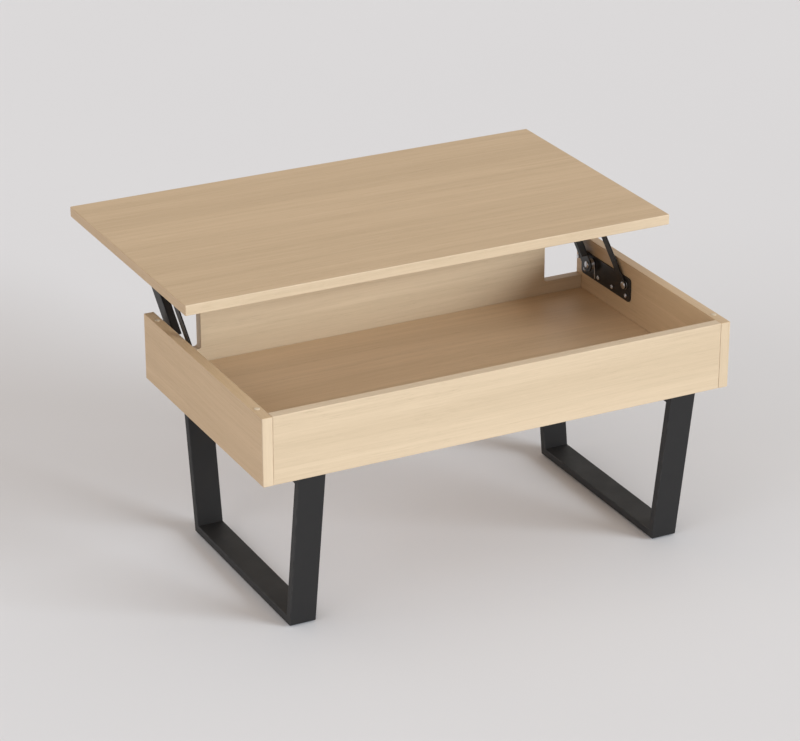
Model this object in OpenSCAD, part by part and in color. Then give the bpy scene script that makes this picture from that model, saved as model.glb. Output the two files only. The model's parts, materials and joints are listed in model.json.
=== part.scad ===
// Lift top coffee table, with its top raised towards the sitter.
// +X runs along the length, +Y points at the person seated and +Z is up.
// The origin is on the floor, in the middle of the space that the raised table takes.

/* [Box and top] */
// Length of the storage box
box_len = 900; // [760:10:1200]
// Depth of the storage box
box_depth = 500; // [440:5:620]
// Height of the storage box
box_h = 124; // [112:1:160]
// Thickness of the boards of the box
board_t = 19; // [16:0.5:23]
// Thickness of the top
top_t = 19; // [16:0.5:28]
// Overhang of the top past each end of the box
end_overhang = 25; // [5:1:60]
// Overhang of the top past each long side of the box
side_overhang = 15; // [5:1:60]
// Gap between the lowered top and the rim of the box
top_gap = 1.5; // [1.4:0.1:4]
// Width of each cutout in the front panel that the arms pass through
cutout_w = 80; // [50:1:120]
// Depth of each cutout below the rim
cutout_h = 80; // [40:1:82]

/* [Legs] */
// Height of the underside of the box above the floor
leg_h = 300; // [220:5:420]
// Width of the leg tubes, along the table
tube_w = 50; // [30:1:70]
// Thickness of the leg tubes
tube_t = 15; // [12:1:25]
// Wall of the leg tubes
tube_wall = 1.5; // [1:0.1:2.5]
// Distance from the end of the box to the leg frame
leg_inset = 65; // [20:1:150]
// Distance from the long side of the box to the leg at its top
leg_top_inset = 2; // [0:1:40]
// Distance from the long side of the box to the leg at the floor
leg_foot_inset = 48; // [2:1:90]
// Thickness of the floor glides
glide_t = 3; // [2:0.5:6]
// Diameter of the floor glides
glide_d = 22; // [14:1:30]

/* [Lift mechanism] */
// Distance between the two pivots of an arm
arm_len = 153; // [120:1:185]
// Distance between the main arm and the guide arm
arm_spacing = 118; // [80:1:125]
// Angle of the arms above the horizontal, towards the sitter, when raised
raised_angle = 43; // [38:1:60]
// Angle of the arms when the top is down
lowered_angle = 175; // [172:1:178]
// Distance from the rim of the box down to the base pivots
pivot_drop = 42; // [38:1:50]
// Distance from the inner face of the front panel back to the main base pivot
pivot_setback = 44; // [42:1:90]
// Width of the main arm
main_arm_w = 28; // [24:1:30]
// Width of the guide arm
guide_arm_w = 15; // [14:1:24]
// Thickness of the steel plate
plate_t = 3; // [2:0.5:4]
// Width of the flange on the main arm
flange_w = 14; // [8:1:20]
// Diameter of the pivot pins
pin_d = 8; // [6:0.5:10]
// Radial clearance of the arms on their pins
pin_fit = 0.05; // [0.02:0.01:0.1]

/* [Fasteners] */
// Diameter of the wooden dowels
dowel_d = 8; // [6:1:10]
// Depth of a dowel in the face of a board
dowel_in_face = 12; // [8:1:13]
// Depth of a dowel in the end of a board
dowel_in_end = 24; // [15:1:35]
// Distance from the edge of a board to its dowel
dowel_edge = 12; // [10:1:14]
// Diameter of the screws that hold the brackets
screw_d = 4; // [3:0.5:5]
// Depth of the bracket screws in the wood
screw_grip = 13; // [8:1:14]
// Diameter of the screws that hold the legs
leg_screw_d = 6; // [4:0.5:8]

/* [Hidden] */
$fn = 48;

// Finishes
wood = "burlywood";
wood_edge = "wheat";
steel = [0.13, 0.13, 0.14];
zinc = "silver";
rubber = "dimgray";

// General clearances
cut = 1;              // how far a cutting tool runs past the face it opens
hole_fit = 0.1;       // radial clearance of screws and dowels in their holes
face_fit = 0.1;       // gap between faces that slide on each other
stop_fit = 0.3;       // gap between the raised arm and its stop
bumper_gap = 0.3;     // air left over the bumpers when the top is down

// Levels and places in the box; y starts at the back of the box and z at the floor
rim_z = leg_h + box_h;
inner_len = box_len - 2 * board_t;
inner_depth = box_depth - 2 * board_t;
main_y = box_depth - board_t - pivot_setback;
guide_y = main_y - arm_spacing;
pivot_z = rim_z - pivot_drop;

// The travel of the top from its lowered to its raised place
lift_forward = arm_len * (cos(raised_angle) - cos(lowered_angle));
lift_rise = arm_len * (sin(raised_angle) - sin(lowered_angle));
top_under_z = rim_z + top_gap + lift_rise;
top_pivot_z = pivot_z + arm_len * sin(raised_angle);
top_pivot_shift = arm_len * cos(raised_angle);
bracket_drop = top_under_z - top_pivot_z;
origin_y = (box_depth + side_overhang + lift_forward) / 2;

// Layers of each mechanism, counted inwards from the inner face of the end panel
layer_gap = 1;
guide_u = plate_t + layer_gap;
ear_u = guide_u + plate_t + layer_gap;
main_u = ear_u + plate_t + layer_gap;
head_u = main_u + plate_t + face_fit;

// Base bracket
base_below = 30;      // plate below the pivots
base_above = 16;      // plate above the pivots
base_back = 18;       // plate behind the guide pivot
base_front = 40;      // plate in front of the main pivot
base_corner = 8;
base_screw_drop = 20; // screws below the pivots
base_screw_edge = 14; // screws from the ends of the plate
base_screw_rows = 4;
stop_reach = 28;      // distance along the raised arm to its stop
stop_d = 8;

// Pins, spacer and spring
head_r = 7;
head_t = 2;
clip_t = 1.4;
spacer_r = 8;
washer_r = 8;
spring_wire = 2;
spring_r = 10.2;
spring_turns = 4;
spring_pitch = spring_wire * 0.97;

// Top bracket
ear_r = 12;
strip_h = 14;
shelf_w = 26;         // flange that lies under the top
shelf_screw_u = 17;   // screws from the ear's outer face
screw_head_r = 4;
screw_head_t = 2.4;
flange_end = 13;      // the main arm's flange stops this far from each pivot

// Leg frame
lean = atan((leg_foot_inset - leg_top_inset) / (leg_h - glide_t));
leg_x = box_len / 2 - leg_inset - tube_w;
leg_screw_edge = 90;
leg_screw_head_r = 5.5;
leg_screw_head_t = 3;
leg_screw_grip = 14;
glide_edge = 30;      // centre of a glide from the end of the foot tube

// Rim bumpers and bottom dowels
bumper_r = 5;
bumper_edge = 40;
bottom_dowel_side = 100;  // from the sides of the bottom to the dowels in its ends
bottom_dowel_end = 130;   // from the ends of the bottom to the dowels in its sides

// ---- helpers ----

// Puts children, drawn with y from the back of the box, into the part's frame
module placed() { translate([0, -origin_y, 0]) children(); }

// Draws children at the left end, or mirrored at the right end
module end_of(right) { if (right) mirror([1, 0, 0]) children(); else children(); }

// Moves x = 0 to the inner face of the left end panel
module from_left_wall() { translate([-inner_len / 2, 0, 0]) children(); }

// A plate across X, from u0 to u1, with its outline in y and z
module plate(u0, u1) { translate([u0, 0, 0]) rotate([90, 0, 90]) linear_extrude(u1 - u0) children(); }

// A round bar along X
module rod(u0, u1, r, y, z) { translate([u0, y, z]) rotate([0, 90, 0]) cylinder(h = u1 - u0, r = r); }

// A bar with round ends between [0, 0] and [len, 0]
module link(len, w) {
    translate([0, -w / 2]) square([len, w]);
    circle(d = w);
    translate([len, 0]) circle(d = w);
}

module rounded_rect(size, r) {
    translate([r, 0]) square([size[0] - 2 * r, size[1]]);
    translate([0, r]) square([size[0], size[1] - 2 * r]);
    for (a = [r, size[0] - r], b = [r, size[1] - r]) translate([a, b]) circle(r = r);
}

// Children drawn along +Y from a base pivot, turned up to the raised arm
module raised_from(y) { translate([0, y, pivot_z]) rotate([raised_angle, 0, 0]) children(); }

// ---- box ----

function panel_dowel_z(end_h) = [leg_h + dowel_edge, leg_h + end_h - dowel_edge];
back_dowel_z = panel_dowel_z(box_h);
front_dowel_z = panel_dowel_z(box_h - cutout_h);
bottom_dowel_z = leg_h + board_t / 2;

// Dowels between the left end panel and the two long panels
module left_panel_dowels(extra) {
    r = dowel_d / 2 + extra;
    for (z = back_dowel_z) rod(-dowel_in_face - extra, dowel_in_end + extra, r, board_t / 2, z);
    for (z = front_dowel_z)
        rod(-dowel_in_face - extra, dowel_in_end + extra, r, box_depth - board_t / 2, z);
}

// Dowels between the left end panel and the bottom
module left_bottom_dowels(extra) {
    for (y = [board_t + bottom_dowel_side, box_depth - board_t - bottom_dowel_side])
        rod(-dowel_in_face - extra, dowel_in_end + extra, dowel_d / 2 + extra, y, bottom_dowel_z);
}

// Dowels between the long panels and the bottom
module side_bottom_dowels(extra) {
    for (x = [-inner_len / 2 + bottom_dowel_end, 0, inner_len / 2 - bottom_dowel_end])
        for (front = [false, true])
            translate([x, front ? box_depth - board_t : board_t, bottom_dowel_z])
                rotate([front ? 90 : -90, 0, 0])
                    translate([0, 0, -dowel_in_face - extra])
                        cylinder(h = dowel_in_face + dowel_in_end + 2 * extra, r = dowel_d / 2 + extra);
}

module both_ends() { for (right = [false, true]) end_of(right) from_left_wall() children(); }

module long_panel(y) { translate([-inner_len / 2, y, leg_h]) cube([inner_len, board_t, box_h]); }

module back_panel() {
    color(wood) placed() difference() {
        long_panel(0);
        both_ends() left_panel_dowels(hole_fit);
        side_bottom_dowels(hole_fit);
    }
}

module front_panel() {
    color(wood) placed() difference() {
        long_panel(box_depth - board_t);
        both_ends() translate([-cut, box_depth - board_t - cut, rim_z - cutout_h])
            cube([cutout_w + cut, board_t + 2 * cut, cutout_h + cut]);
        both_ends() left_panel_dowels(hole_fit);
        side_bottom_dowels(hole_fit);
    }
}

module end_panel(right) {
    color(wood) placed() end_of(right) from_left_wall() difference() {
        translate([-board_t, 0, leg_h]) cube([board_t, box_depth, box_h]);
        left_panel_dowels(hole_fit);
        left_bottom_dowels(hole_fit);
        base_screw_holes(-screw_grip, plate_t);
    }
}

module left_end_panel() { end_panel(false); }
module right_end_panel() { end_panel(true); }

module bottom_panel() {
    color(wood) placed() difference() {
        translate([-inner_len / 2, board_t, leg_h]) cube([inner_len, inner_depth, board_t]);
        both_ends() left_bottom_dowels(hole_fit);
        side_bottom_dowels(hole_fit);
        leg_screw_spots() cylinder(h = leg_screw_grip + hole_fit, d = leg_screw_d + 2 * hole_fit);
    }
}

module panel_dowels() { color(wood_edge) placed() both_ends() left_panel_dowels(0); }

module bottom_dowels() {
    color(wood_edge) placed() {
        both_ends() left_bottom_dowels(0);
        side_bottom_dowels(0);
    }
}

module rim_bumpers() {
    color(rubber) placed() both_ends()
        for (y = [bumper_edge, box_depth - bumper_edge])
            translate([-board_t / 2, y, rim_z]) cylinder(h = top_gap - bumper_gap, r = bumper_r);
}

// ---- top ----

module top_panel() {
    color(wood) placed() difference() {
        translate([-box_len / 2 - end_overhang, lift_forward - side_overhang, top_under_z])
            cube([box_len + 2 * end_overhang, box_depth + 2 * side_overhang, top_t]);
        both_ends() top_screw_spots()
            cylinder(h = screw_grip + hole_fit, d = screw_d + 2 * hole_fit);
    }
}

// ---- legs ----

// The leg frame's outer line at height z, moved inwards by d
function leg_y(z, d) = leg_top_inset + (leg_h - z) * tan(lean) + d / cos(lean);

// A corner of the leg frame, moved inwards by d
function corner(top, front, d) =
    let (z = top ? leg_h - d : glide_t + d, y = leg_y(z, d)) [front ? box_depth - y : y, z];

// Point p, moved away from point q by e
function beyond(p, q, e) = p + (p - q) * e / norm(p - q);

// The outline between two corners, from depth d0 to depth d1 inside the frame, run past its ends by e
module strip(a, b, d0, d1, e) {
    near = [corner(a[0], a[1], d0), corner(b[0], b[1], d0)];
    far = [corner(a[0], a[1], d1), corner(b[0], b[1], d1)];
    polygon([beyond(near[0], near[1], e), beyond(near[1], near[0], e),
             beyond(far[1], far[0], e), beyond(far[0], far[1], e)]);
}

// A rectangular tube with mitred ends between two corners of the frame
module tube(a, b) {
    translate([-leg_x - tube_w, 0, 0]) difference() {
        plate(0, tube_w) strip(a, b, 0, tube_t, 0);
        plate(tube_wall, tube_w - tube_wall) strip(a, b, tube_wall, tube_t - tube_wall, cut);
    }
}

module leg_screw_spots() {
    for (x = [-leg_x - tube_w / 2, leg_x + tube_w / 2])
        for (y = [leg_screw_edge, box_depth / 2, box_depth - leg_screw_edge])
            translate([x, y, leg_h]) children();
}

module leg_tube(right, a, b) { color(steel) placed() end_of(right) tube(a, b); }

module top_tube(right) {
    difference() {
        leg_tube(right, [true, false], [true, true]);
        placed() leg_screw_spots() translate([0, 0, -tube_t - cut])
            cylinder(h = tube_t + 2 * cut, d = leg_screw_d + 2 * hole_fit);
    }
}

module left_top_tube() { top_tube(false); }
module right_top_tube() { top_tube(true); }
module left_foot_tube() { leg_tube(false, [false, false], [false, true]); }
module right_foot_tube() { leg_tube(true, [false, false], [false, true]); }
module left_back_upright() { leg_tube(false, [true, false], [false, false]); }
module right_back_upright() { leg_tube(true, [true, false], [false, false]); }
module left_front_upright() { leg_tube(false, [true, true], [false, true]); }
module right_front_upright() { leg_tube(true, [true, true], [false, true]); }

module leg_screws() {
    color(zinc) placed() leg_screw_spots() {
        translate([0, 0, -tube_t]) cylinder(h = tube_t + leg_screw_grip, d = leg_screw_d);
        translate([0, 0, -tube_t - leg_screw_head_t]) cylinder(h = leg_screw_head_t, r = leg_screw_head_r);
    }
}

module floor_glides() {
    foot_y = leg_y(glide_t, 0) + glide_edge;
    color(rubber) placed()
        for (x = [-leg_x - tube_w / 2, leg_x + tube_w / 2], y = [foot_y, box_depth - foot_y])
            translate([x, y, 0]) cylinder(h = glide_t, d = glide_d);
}

// ---- lift mechanism ----

module base_screw_holes(u0, u1) {
    y0 = guide_y - base_back + base_screw_edge;
    y1 = main_y + base_front - base_screw_edge;
    for (i = [0:base_screw_rows - 1])
        rod(u0, u1, screw_d / 2 + hole_fit, y0 + (y1 - y0) * i / (base_screw_rows - 1),
            pivot_z - base_screw_drop);
}

// The stop's centre, in the raised arm's own line
stop_side = main_arm_w / 2 + stop_fit + stop_d / 2;
stop_y = main_y + stop_reach * cos(raised_angle) + stop_side * sin(raised_angle);
stop_z = pivot_z + stop_reach * sin(raised_angle) - stop_side * cos(raised_angle);

module base_bracket(right) {
    color(steel) placed() end_of(right) from_left_wall() difference() {
        plate(0, plate_t) translate([guide_y - base_back, pivot_z - base_below])
            rounded_rect([arm_spacing + base_back + base_front, base_below + base_above], base_corner);
        for (y = [guide_y, main_y]) rod(-cut, plate_t + cut, pin_d / 2 + pin_fit, y, pivot_z);
        rod(-cut, plate_t + cut, stop_d / 2 + pin_fit, stop_y, stop_z);
        base_screw_holes(-cut, plate_t + cut);
    }
}

module left_base_bracket() { base_bracket(false); }
module right_base_bracket() { base_bracket(true); }

module arm_bores(u) { for (y = [0, arm_len]) rod(u - cut, u + plate_t + cut, pin_d / 2 + pin_fit, y, 0); }

module main_arm(right) {
    color(steel) placed() end_of(right) from_left_wall() raised_from(main_y) difference() {
        union() {
            plate(main_u, main_u + plate_t) link(arm_len, main_arm_w);
            translate([main_u, flange_end, main_arm_w / 2 - plate_t])
                cube([flange_w, arm_len - 2 * flange_end, plate_t]);
        }
        arm_bores(main_u);
    }
}

module left_main_arm() { main_arm(false); }
module right_main_arm() { main_arm(true); }

module guide_arm(right) {
    color(steel) placed() end_of(right) from_left_wall() raised_from(guide_y) difference() {
        plate(guide_u, guide_u + plate_t) link(arm_len, guide_arm_w);
        arm_bores(guide_u);
    }
}

module left_guide_arm() { guide_arm(false); }
module right_guide_arm() { guide_arm(true); }

// Screws through the shelf of the left top bracket, from the underside of the top
module top_screw_spots() {
    for (y = [guide_y, (guide_y + main_y) / 2, main_y])
        translate([ear_u + shelf_screw_u, y + top_pivot_shift, top_under_z]) children();
}

module top_bracket(right) {
    color(steel) placed() end_of(right) from_left_wall() difference() {
        union() {
            plate(ear_u, ear_u + plate_t) {
                translate([guide_y + top_pivot_shift - ear_r, top_under_z - strip_h])
                    square([arm_spacing + 2 * ear_r, strip_h]);
                for (y = [guide_y, main_y]) translate([y + top_pivot_shift, top_pivot_z]) {
                    circle(r = ear_r);
                    translate([-ear_r, 0]) square([2 * ear_r, bracket_drop - plate_t]);
                }
            }
            translate([ear_u, guide_y + top_pivot_shift - ear_r, top_under_z - plate_t])
                cube([shelf_w, arm_spacing + 2 * ear_r, plate_t]);
        }
        for (y = [guide_y, main_y])
            rod(ear_u - cut, ear_u + plate_t + cut, pin_d / 2 + pin_fit, y + top_pivot_shift, top_pivot_z);
        top_screw_spots() translate([0, 0, -plate_t - cut])
            cylinder(h = plate_t + 2 * cut, d = screw_d + 2 * hole_fit);
    }
}

module left_top_bracket() { top_bracket(false); }
module right_top_bracket() { top_bracket(true); }

// A pivot pin from u0 to u1 with a head after each end that has a thickness
module pin(u0, u1, y, z, head0, head1) {
    rod(u0, u1, pin_d / 2, y, z);
    if (head0 > 0) rod(u0 - head0, u0, head_r, y, z);
    if (head1 > 0) rod(u1, u1 + head1, head_r, y, z);
}

module base_pins(right) {
    color(zinc) placed() end_of(right) from_left_wall() {
        pin(0, head_u, main_y, pivot_z, 0, head_t);
        pin(0, guide_u + plate_t + face_fit, guide_y, pivot_z, 0, head_t);
    }
}

module left_base_pins() { base_pins(false); }
module right_base_pins() { base_pins(true); }

module top_pins(right) {
    color(zinc) placed() end_of(right) from_left_wall() {
        pin(ear_u, head_u, main_y + top_pivot_shift, top_pivot_z, 0, head_t);
        pin(guide_u - face_fit, ear_u + plate_t + face_fit, guide_y + top_pivot_shift, top_pivot_z,
            head_t, clip_t);
    }
}

module left_top_pins() { top_pins(false); }
module right_top_pins() { top_pins(true); }

module stop_pin(right) {
    color(zinc) placed() end_of(right) from_left_wall()
        rod(0, main_u + plate_t + layer_gap, stop_d / 2, stop_y, stop_z);
}

module left_stop_pin() { stop_pin(false); }
module right_stop_pin() { stop_pin(true); }

module spacer(right) {
    color(zinc) placed() end_of(right) from_left_wall() difference() {
        rod(plate_t, main_u - face_fit, spacer_r, main_y, pivot_z);
        rod(plate_t - cut, main_u + cut, pin_d / 2 + pin_fit, main_y, pivot_z);
    }
}

module left_spacer() { spacer(false); }
module right_spacer() { spacer(true); }

// The coil of the spring that helps the top up, around the spacer
module spring(right) {
    u_mid = (plate_t + main_u) / 2;
    color(zinc) placed() end_of(right) from_left_wall()
        translate([u_mid, main_y, pivot_z]) rotate([0, 90, 0]) rotate_extrude()
            for (i = [0:spring_turns - 1])
                translate([spring_r, (i - (spring_turns - 1) / 2) * spring_pitch]) circle(d = spring_wire);
}

module left_spring() { spring(false); }
module right_spring() { spring(true); }

module washer(u0, u1, y, z) {
    difference() {
        rod(u0 + face_fit, u1 - face_fit, washer_r, y, z);
        rod(u0, u1, pin_d / 2 + hole_fit, y, z);
    }
}

module base_washers() {
    color(zinc) placed() both_ends() washer(plate_t, guide_u, guide_y, pivot_z);
}

module top_washers() {
    color(zinc) placed() both_ends() {
        washer(guide_u + plate_t, ear_u, guide_y + top_pivot_shift, top_pivot_z);
        washer(ear_u + plate_t, main_u, main_y + top_pivot_shift, top_pivot_z);
    }
}

module bracket_screws(right) {
    y0 = guide_y - base_back + base_screw_edge;
    y1 = main_y + base_front - base_screw_edge;
    color(zinc) placed() end_of(right) from_left_wall()
        for (i = [0:base_screw_rows - 1]) {
            y = y0 + (y1 - y0) * i / (base_screw_rows - 1);
            rod(-screw_grip + hole_fit, plate_t, screw_d / 2, y, pivot_z - base_screw_drop);
            rod(plate_t, plate_t + screw_head_t, screw_head_r, y, pivot_z - base_screw_drop);
        }
}

module left_bracket_screws() { bracket_screws(false); }
module right_bracket_screws() { bracket_screws(true); }

module top_screws() {
    color(zinc) placed() both_ends() top_screw_spots() {
        translate([0, 0, -plate_t]) cylinder(h = plate_t + screw_grip, d = screw_d);
        translate([0, 0, -plate_t - screw_head_t]) cylinder(h = screw_head_t, r = screw_head_r);
    }
}

top_panel();
back_panel();
front_panel();
left_end_panel();
right_end_panel();
bottom_panel();
left_top_tube();
left_foot_tube();
left_back_upright();
left_front_upright();
right_top_tube();
right_foot_tube();
right_back_upright();
right_front_upright();
leg_screws();
floor_glides();
panel_dowels();
bottom_dowels();
rim_bumpers();
left_base_bracket();
right_base_bracket();
left_main_arm();
right_main_arm();
left_guide_arm();
right_guide_arm();
left_top_bracket();
right_top_bracket();
left_base_pins();
right_base_pins();
left_top_pins();
right_top_pins();
left_stop_pin();
right_stop_pin();
left_spacer();
right_spacer();
left_spring();
right_spring();
base_washers();
top_washers();
left_bracket_screws();
right_bracket_screws();
top_screws();
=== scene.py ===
"""Looks for a lift top coffee table: oak boards, black steel legs and the lift hardware at each end."""

import json
import math

import bpy
import numpy as np
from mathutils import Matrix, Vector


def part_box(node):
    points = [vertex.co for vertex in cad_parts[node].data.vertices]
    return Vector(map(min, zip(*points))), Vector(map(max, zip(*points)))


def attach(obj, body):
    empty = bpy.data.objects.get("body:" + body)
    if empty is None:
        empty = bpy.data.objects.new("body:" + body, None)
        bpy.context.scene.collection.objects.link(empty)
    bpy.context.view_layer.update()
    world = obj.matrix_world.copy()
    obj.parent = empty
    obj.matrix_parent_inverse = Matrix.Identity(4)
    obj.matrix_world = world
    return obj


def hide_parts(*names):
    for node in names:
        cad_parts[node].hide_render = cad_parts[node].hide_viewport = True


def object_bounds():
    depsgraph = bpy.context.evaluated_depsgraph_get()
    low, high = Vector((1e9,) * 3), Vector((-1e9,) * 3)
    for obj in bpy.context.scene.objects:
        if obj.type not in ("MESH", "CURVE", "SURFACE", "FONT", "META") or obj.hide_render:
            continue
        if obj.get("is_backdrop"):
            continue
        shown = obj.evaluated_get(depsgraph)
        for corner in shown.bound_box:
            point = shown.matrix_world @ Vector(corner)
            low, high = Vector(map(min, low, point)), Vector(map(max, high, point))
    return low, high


bl_info = {
    "name": "Lift top coffee table",
    "version": (1, 0, 0),
    "blender": (4, 5, 0),
    "location": "View3D > Sidebar > Table",
    "description": "Builds the boards, legs and lift hardware of a lift top coffee table",
    "category": "Add Mesh",
}

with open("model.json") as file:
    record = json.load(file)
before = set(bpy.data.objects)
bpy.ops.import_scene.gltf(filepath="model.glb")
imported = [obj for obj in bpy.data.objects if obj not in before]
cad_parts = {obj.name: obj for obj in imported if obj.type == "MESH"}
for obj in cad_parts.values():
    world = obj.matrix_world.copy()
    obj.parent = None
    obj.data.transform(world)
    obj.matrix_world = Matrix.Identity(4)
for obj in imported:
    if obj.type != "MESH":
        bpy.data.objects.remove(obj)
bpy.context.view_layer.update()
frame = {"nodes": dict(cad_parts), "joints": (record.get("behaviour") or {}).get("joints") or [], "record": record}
JOINTS = {joint["name"]: joint for joint in frame["joints"]}
SIDES = ("left", "right")
MM = 0.001

# Sizes of the lift hardware that the boxes of the frame don't give.
PIN_RADIUS = 4 * MM
HEAD_RADIUS, HEAD_HEIGHT, CLIP_HEIGHT = 7 * MM, 2 * MM, 1.4 * MM
WASHER_RADIUS = 8 * MM
FACE_GAP = 0.1 * MM
HOLE_FIT, PIN_FIT = 0.1 * MM, 0.05 * MM
STRIP_HEIGHT = 14 * MM
SPRING_WIRE = 1 * MM
RIB_HEIGHT = 1.2 * MM

# Small radii and gaps of the boards and plates.
BAND_GROOVE = 0.12 * MM
MITRE_EASE = 0.8 * MM
BOARD_CORNER, CUTOUT_CORNER, RIM_CORNER = 0.4 * MM, 5 * MM, 3 * MM
OPENING_MARGIN = 1 * MM


# ---------------------------------------------------------------- settings


def length(name, description, default, low, high):
    """A length that a user can change, with its default and limits in millimetres."""
    return bpy.props.FloatProperty(
        name=name, description=description, default=default * MM, min=low * MM, max=high * MM, unit="LENGTH"
    )


def colour_of(name, description, default):
    """A linear colour that a user can change."""
    return bpy.props.FloatVectorProperty(
        name=name, description=description, default=default, size=3, min=0, max=1, subtype="COLOR"
    )


def number(name, description, default, low, high):
    """A plain number that a user can change."""
    return bpy.props.FloatProperty(name=name, description=description, default=default, min=low, max=high)


def angle(name, description, degrees):
    """An angle that a user can change, with its default in degrees."""
    return bpy.props.FloatProperty(
        name=name, description=description, default=math.radians(degrees), subtype="ANGLE"
    )


class TableSizes(bpy.types.PropertyGroup):
    """Small sizes of the finish that the frame doesn't give."""

    edge_radius: length("Board edge radius", "How far the long edges of the boards are eased", 1.3, 0.3, 4)
    corner_radius: length(
        "Board corner radius", "Radius of the corners of the top, seen from above", 2.5, 0.5, 12
    )
    band_thickness: length(
        "Edge band thickness", "Thickness of the strip that covers the edges of a board", 1.8, 0.8, 3
    )
    tube_radius: length("Tube corner radius", "Outer radius of the corners of the leg tubes", 1.8, 0.5, 4)
    plate_radius: length(
        "Plate edge radius", "How far the edges of the pressed steel plates are eased", 0.5, 0.1, 1.2
    )


class TableColours(bpy.types.PropertyGroup):
    """Colours of the finishes, as linear values."""

    oak: colour_of(
        "Oak, top and ends",
        "Mean colour of the veneer on the top and the end panels; the bottom is a paler cut of it",
        (0.510, 0.355, 0.208),
    )
    # Painted highlight: this oak is painted paler and greyer than the top's. It stands for the washed-out
    # highlight that the low key light throws on the front panel, and it goes on the front and back panels and on
    # the edge bands along x and z.
    oak_long_painted_highlight: colour_of(
        "Oak, long panels",
        "Mean colour of the slightly paler veneer on the front and back panels",
        (0.555, 0.422, 0.283),
    )
    black: colour_of("Black", "Black finish of the legs and the lift hardware", (0.0105, 0.0100, 0.0100))
    zinc: colour_of("Zinc", "Zinc plate on pins, screws, springs and washers", (0.58, 0.58, 0.60))
    rubber: colour_of("Rubber", "Floor glides", (0.030, 0.030, 0.032))
    silicone: colour_of("Silicone", "Milky rim bumpers", (0.54, 0.43, 0.30))
    beech: colour_of("Beech", "Dowels", (0.62, 0.42, 0.24))
    floor: colour_of("Floor", "Plain pale studio floor", (0.707, 0.684, 0.681))


class StageSettings(bpy.types.PropertyGroup):
    """Camera and light."""

    azimuth: angle("Camera azimuth", "Direction of the camera round the table; 0 looks along +Y", -27)
    elevation: angle("Camera elevation", "Height of the camera above the horizon", 23.75)
    distance: number("Camera distance", "Metres from the middle of the table to the camera", 5.4, 1, 20)
    lens: number("Lens", "Focal length in millimetres on a 36 mm sensor", 134, 20, 300)
    ambient: number("Ambient light", "Strength of the even light from all round", 0.66, 0, 3)
    key: number("Key light", "Watts per square metre of the broad low light on the front right", 4.7, 0, 20)
    fill: number("Fill light", "Watts per square metre of the very broad light from the left", 1.35, 0, 20)


# ---------------------------------------------------------------- shapes


def grid_faces(rows, cols, wrap_rows=False, wrap_cols=True):
    """Quads between neighbouring points of a grid that is stored row by row."""
    r, c = np.meshgrid(
        np.arange(rows if wrap_rows else rows - 1),
        np.arange(cols if wrap_cols else cols - 1),
        indexing="ij",
    )
    r, c = r.ravel(), c.ravel()
    r1, c1 = (r + 1) % rows, (c + 1) % cols
    return np.stack([r * cols + c, r * cols + c1, r1 * cols + c1, r1 * cols + c], axis=1)


def unit(v):
    """Each row scaled to length one."""
    return v / np.linalg.norm(v, axis=-1, keepdims=True)


def corner_mitres(p):
    """The sides before and after each corner, their outward normals and the outward mitre between them.

    The mitre is (n0 + n1) / (1 + n0 . n1), so moving a corner by it moves both sides by one.
    """
    before, after = unit(p - np.roll(p, 1, 0)), unit(np.roll(p, -1, 0) - p)
    n0 = np.stack([before[:, 1], -before[:, 0]], 1)
    n1 = np.stack([after[:, 1], -after[:, 0]], 1)
    return before, after, n0, (n0 + n1) / (1 + (n0 * n1).sum(1))[:, None]


def rounded_outline(corners, radii, inset=0.0, steps=6):
    """Points and outward normals round a polygon that runs anticlockwise and has round corners.

    With n turning evenly from one side's normal to the next side's, M the outward mitre and s = 1
    at a corner that sticks out or -1 at one that goes in, a point is c - s r M + s r n. The inset
    moves every side in: c becomes c - inset M and r becomes r - s inset, never under a hair's breadth.
    """
    p = np.asarray(corners, float)
    r = np.broadcast_to(np.asarray(radii, float), len(p))
    before, after, n0, mitre = corner_mitres(p)
    turn = np.arctan2(before[:, 0] * after[:, 1] - before[:, 1] * after[:, 0], (before * after).sum(1))
    s = np.sign(turn)
    sr = (s * np.maximum(r - s * inset, 0.02 * MM))[:, None]
    angle = np.arctan2(n0[:, 1], n0[:, 0])[:, None] + turn[:, None] * np.linspace(0, 1, steps + 1)
    n = np.stack([np.cos(angle), np.sin(angle)], -1)
    points = (p - (inset + sr) * mitre)[:, None, :] + sr[:, None] * n
    return points.reshape(-1, 2), n.reshape(-1, 2)


def eased_profile(thickness, radius, groove_at=0.0, groove=0.0, steps=4):
    """Stations from one face of a plate to the other, as rows of inset, height, edge mask and flatness.

    Each edge is a quarter circle: inset = r (1 - sin a) and height = r (1 - cos a). Where groove_at is
    more than zero, a fine V groove that far in marks the joint between the face and its edge band.
    """
    a = np.linspace(0, math.pi / 2, steps + 1)
    inset, height = radius * (1 - np.sin(a)), radius * (1 - np.cos(a))
    mask = np.sin(2 * a) * 0.8 + 0.2
    rows = np.stack([inset, height, mask], 1)
    if groove_at > 0:
        line = [(groove_at + groove, 0, 0), (groove_at, groove * 0.7, 0), (groove_at - groove, 0, 0)]
        rows = np.concatenate([np.array(line), rows])
    else:
        rows = np.concatenate([[(radius * 3, 0, 0)], rows])
    other = rows[::-1] * (1, -1, 1) + (0, thickness, 0)
    return np.concatenate([rows, other])


def shape_of(verts, quads, caps, smooth, edge, material=0, cap_material=0):
    """A shape: points, quads and end caps, the quads' smoothness and material, and the points' edge mask."""
    return {
        "verts": verts,
        "quads": quads,
        "caps": caps,
        "smooth": np.broadcast_to(smooth, len(quads)),
        "material": np.broadcast_to(material, len(quads)),
        "cap_material": cap_material,
        "edge": np.broadcast_to(edge, len(verts)),
    }


def end_caps(rows, cols):
    """The first row of a grid, turned round, and the last row."""
    return [np.arange(cols)[::-1], (rows - 1) * cols + np.arange(cols)]


def axes_order(axes):
    """Where x, y and z stand in a string such as 'yzx'."""
    return [axes.index(letter) for letter in "xyz"]


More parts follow.
